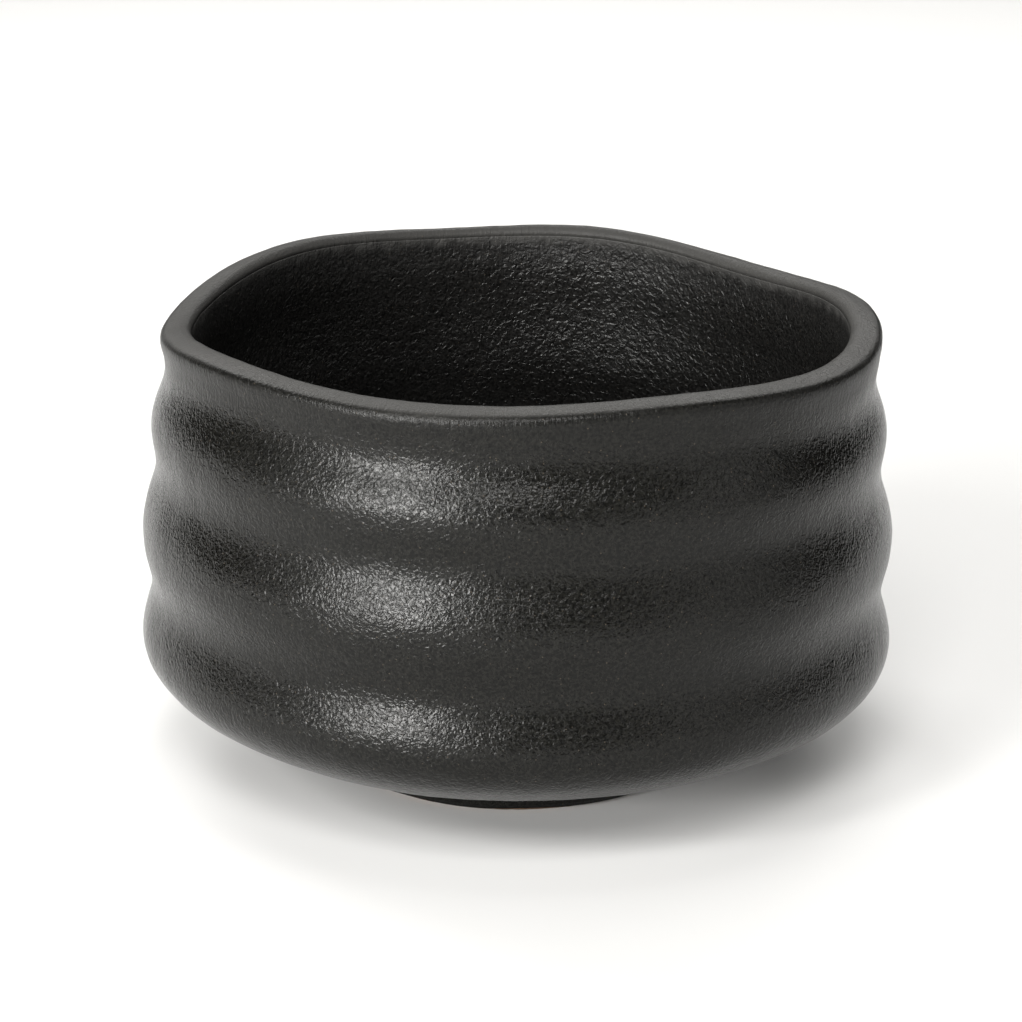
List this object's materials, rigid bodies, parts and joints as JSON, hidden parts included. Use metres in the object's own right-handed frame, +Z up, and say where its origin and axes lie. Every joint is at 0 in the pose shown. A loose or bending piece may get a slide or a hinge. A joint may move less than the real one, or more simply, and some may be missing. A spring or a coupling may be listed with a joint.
{
  "type": "matcha bowl",
  "caption": "Wide cylindrical tea bowl in black-glazed stoneware with soft throwing swells, a wavy rim and a low foot ring.",
  "frame": {"origin": "the middle of the foot ring's resting plane, which is also the middle of the bowl's box seen from above", "axes": "+Z up through the mouth; -Y is the side with the rim's low front; the bowl is nearly round, so +X has no landmark except the wall's slight lean towards it"},
  "size_m": [0.1195, 0.1204, 0.0758],
  "materials": {
    "bare_clay": "unglazed dark brown stoneware, fine sandy and matte",
    "fired_slip": "fired joining slip, matte",
    "black_glaze": "satin black glaze with a fine leathery texture and tiny warm specks",
    "pooled_glaze": "black glaze, pebbled and a little glossier than outside",
    "foot_coat": "thin satin black glaze"
  },
  "bodies": {
    "root": {"clay_body": "bare_clay", "foot_ring": "bare_clay", "luting_slip": "fired_slip", "outer_glaze": "black_glaze", "inner_glaze": "pooled_glaze", "foot_glaze": "foot_coat"}
  },
  "joints": []
}
